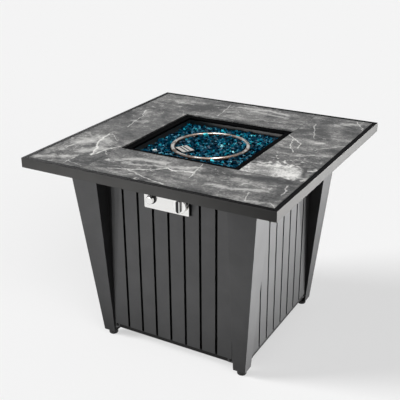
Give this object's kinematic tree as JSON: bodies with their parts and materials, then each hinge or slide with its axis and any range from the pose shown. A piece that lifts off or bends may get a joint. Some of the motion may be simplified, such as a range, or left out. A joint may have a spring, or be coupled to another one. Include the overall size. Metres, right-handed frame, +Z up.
{
  "type": "gas fire pit table",
  "caption": "Square steel gas fire pit table with a marble-look tile top, ring burner in blue fire glass, splayed corner legs, grooved side panels and a rear door to the gas cylinder bay.",
  "frame": {"origin": "Middle of the table on the floor, under the feet.", "axes": "+Z is up, -Y is the front with the controls, +X is the right seen from the front."},
  "size_m": [0.762, 0.762, 0.602],
  "materials": {
    "rim_paint": "black satin powder coat",
    "body_paint": "dark grey fine-textured powder coat",
    "tile_glaze": "grey marble print with white veins, satin glaze",
    "pan_steel": "plain rolled steel",
    "stainless": "polished stainless steel",
    "plated_steel": "bright zinc plate",
    "plate_chrome": "mirror polished",
    "valve_metal": "die cast",
    "brass": "machined",
    "white_ceramic": "unglazed",
    "fire_glass": "broken blue glass, glossy",
    "black_plastic": "moulded",
    "knob_plastic": "glossy black with a bright grip",
    "foot_rubber": "matte",
    "magnet": "pressed magnet",
    "battery": "printed sleeve"
  },
  "bodies": {
    "base": {"rim_front": "rim_paint", "rim_right": "rim_paint", "rim_rear": "rim_paint", "rim_left": "rim_paint", "bowl_frame": "rim_paint", "deck_rail_front": "rim_paint", "deck_rail_rear": "rim_paint", "deck_rail_right": "rim_paint", "deck_rail_left": "rim_paint", "tile_ledge_bars": "rim_paint", "base_tray": "rim_paint", "tank_collar": "rim_paint", "leg_front_right": "body_paint", "leg_rear_right": "body_paint", "leg_rear_left": "body_paint", "leg_front_left": "body_paint", "panel_front": "body_paint", "panel_right": "body_paint", "panel_left": "body_paint", "hinge_leaves": "body_paint", "tile_front": "tile_glaze", "tile_right": "tile_glaze", "tile_rear": "tile_glaze", "tile_left": "tile_glaze", "burner_pan": "pan_steel", "burner_ring": "stainless", "ring_posts": "stainless", "igniter_shield": "stainless", "electrode_rod": "stainless", "flame_probe": "stainless", "riser_nuts": "plated_steel", "air_mixer": "plated_steel", "foot_nuts": "plated_steel", "top_bolts": "plated_steel", "panel_nuts": "plated_steel", "hinge_pins": "plated_steel", "tray_screws": "plated_steel", "plate_nuts": "plated_steel", "valve_screws": "plated_steel", "igniter_nut": "plated_steel", "igniter_terminals": "plated_steel", "control_plate": "plate_chrome", "control_valve": "valve_metal", "gas_feed_pipe": "valve_metal", "burner_elbow": "brass", "gas_orifice": "brass", "gas_inlet": "brass", "electrode_insulator": "white_ceramic", "fire_glass": "fire_glass", "igniter_housing": "black_plastic", "catch_housing": "black_plastic", "feet": "foot_rubber", "catch_magnet": "magnet", "igniter_battery": "battery"},
    "door": {"door_panel": "body_paint", "door_pull": "plate_chrome"},
    "knob_push": {"push_sleeve": "plated_steel"},
    "knob": {"valve_stem": "plated_steel", "control_knob": "knob_plastic"},
    "igniter_button": {"igniter_button": "plate_chrome"}
  },
  "joints": [
    {"name": "door_swing", "type": "hinge", "parent": "base", "child": "door", "pos_m": [0.2004, 0.2416, 0.3105], "axis": [0, 0, -1], "range_deg": [0, 90]},
    {"name": "knob_push", "type": "slide", "parent": "base", "child": "knob_push", "axis": [0, 1, 0], "range_m": [0, 0.003], "stiffness_N_per_m": 800},
    {"name": "knob_turn", "type": "hinge", "parent": "knob_push", "child": "knob", "pos_m": [0.046, -0.2555, 0.498], "axis": [0, -1, 0], "range_deg": [0, 180]},
    {"name": "igniter_press", "type": "slide", "parent": "base", "child": "igniter_button", "axis": [0, 1, 0], "range_m": [0, 0.0035], "stiffness_N_per_m": 600}
  ]
}
